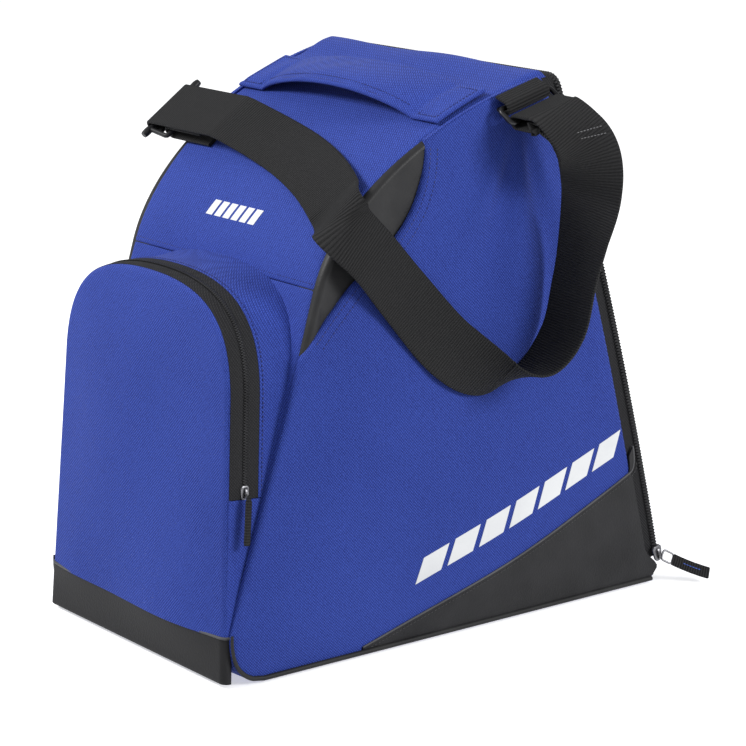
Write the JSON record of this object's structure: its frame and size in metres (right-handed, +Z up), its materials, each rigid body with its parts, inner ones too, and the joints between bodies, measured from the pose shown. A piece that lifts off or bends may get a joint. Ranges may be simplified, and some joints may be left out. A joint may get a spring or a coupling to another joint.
{
  "type": "ski boot bag",
  "caption": "Slanted, padded boot bag with a zipped rear flap, a domed front pocket, a carry handle and a shoulder strap.",
  "frame": {"origin": "middle of the underside, on the ground plane, halfway between the side panels", "axes": "+Z up, -Y towards the pocket, +Y towards the zipped rear flap, +X towards the side that the shoulder strap hangs on"},
  "size_m": [0.3529, 0.4476, 0.4256],
  "materials": {
    "blue_weave": "matt royal-blue polyester weave",
    "black_coated": "black coated fabric with a soft sheen",
    "tarpaulin": "charcoal tarpaulin, satin",
    "zip_tape": "black woven zip tape with a nylon coil",
    "webbing": "black ribbed webbing",
    "foam": "closed-cell foam, matt",
    "lining": "thin dark lining cloth",
    "board": "stiff plastic sheet",
    "grey_metal": "gunmetal zip slider",
    "black_metal": "black painted metal",
    "black_plastic": "moulded black plastic"
  },
  "bodies": {
    "root": {"side_panel_near": "blue_weave", "side_panel_far": "blue_weave", "vent_insert_near": "black_coated", "vent_insert_far": "black_coated", "side_foam_near": "foam", "side_foam_far": "foam", "side_lining_near": "lining", "side_lining_far": "lining", "lower_front_panel": "blue_weave", "top_panel": "blue_weave", "wrap_lining": "lining", "base_panel": "tarpaulin", "base_board": "board", "base_piping_near": "webbing", "base_piping_far": "webbing", "corner_patch_near": "tarpaulin", "corner_patch_far": "tarpaulin", "main_zip_tape_body": "zip_tape", "pocket_zip_tape_body": "zip_tape", "pocket_gusset_arch": "blue_weave", "pocket_lower_face": "blue_weave", "front_base_band": "tarpaulin", "pocket_gusset_near": "blue_weave", "pocket_gusset_far": "blue_weave", "handle_end_near": "blue_weave", "handle_end_far": "blue_weave", "rear_tab": "webbing", "strap_rear_end": "webbing", "front_tab": "webbing", "strap_front_end": "webbing"},
    "rear_flap": {"rear_panel": "blue_weave", "main_zip_tape_flap": "zip_tape", "rear_lining": "lining"},
    "main_slider": {"main_zip_slider": "grey_metal"},
    "main_pull": {"main_pull_link": "grey_metal", "main_pull_tab": "webbing"},
    "pocket_flap": {"pocket_flap": "blue_weave", "pocket_zip_tape_flap": "zip_tape"},
    "pocket_slider": {"pocket_zip_slider": "black_metal"},
    "pocket_pull": {"pocket_pull": "webbing"},
    "handle": {"carry_handle": "blue_weave"},
    "ring": {"rear_ring": "black_metal"},
    "adjuster": {"front_adjuster": "black_plastic"},
    "strap": {"shoulder_strap": "webbing"}
  },
  "joints": [
    {"name": "rear_flap_fold", "type": "hinge", "parent": "root", "child": "rear_flap", "pos_m": [0, 0.206, 0.0088], "axis": [-1, 0, 0], "range_deg": [0, 100]},
    {"name": "main_slider_run", "type": "slide", "parent": "root", "child": "main_slider", "axis": [-0.014, -0.2659, 0.9639], "range_m": [0, 0.33]},
    {"name": "main_pull_swing", "type": "hinge", "parent": "main_slider", "child": "main_pull", "pos_m": [0.14744, 0.20089, 0.02239], "axis": [0.8214, -0.5704, 0], "range_deg": [0, 110]},
    {"name": "pocket_flap_fold", "type": "hinge", "parent": "root", "child": "pocket_flap", "pos_m": [0, -0.20111, 0.13768], "axis": [1, 0, 0], "range_deg": [0, 55]},
    {"name": "pocket_slider_run", "type": "slide", "parent": "root", "child": "pocket_slider", "axis": [-0.045, 0.068, 0.9967], "range_m": [0, 0.057]},
    {"name": "pocket_pull_swing", "type": "hinge", "parent": "pocket_slider", "child": "pocket_pull", "pos_m": [0.11575, -0.18651, 0.1417], "axis": [0, -1, 0], "range_deg": [0, 120]},
    {"name": "handle_lift", "type": "slide", "parent": "root", "child": "handle", "axis": [0, -0.3677, 0.93], "range_m": [0, 0.02]},
    {"name": "ring_play", "type": "hinge", "parent": "root", "child": "ring", "pos_m": [0.13762, 0.05, 0.4024], "axis": [0, -0.9678, -0.2517], "range_deg": [0, 2]},
    {"name": "adjuster_play", "type": "hinge", "parent": "root", "child": "adjuster", "pos_m": [-0.12746, -0.06256, 0.36889], "axis": [0, 0.8219, 0.5696], "range_deg": [0, 2]},
    {"name": "strap_swing", "type": "hinge", "parent": "root", "child": "strap", "pos_m": [-0.07242, -0.06768, 0.37628], "axis": [-0.8936, -0.4432, -0.0707], "range_deg": [0, 45]}
  ]
}
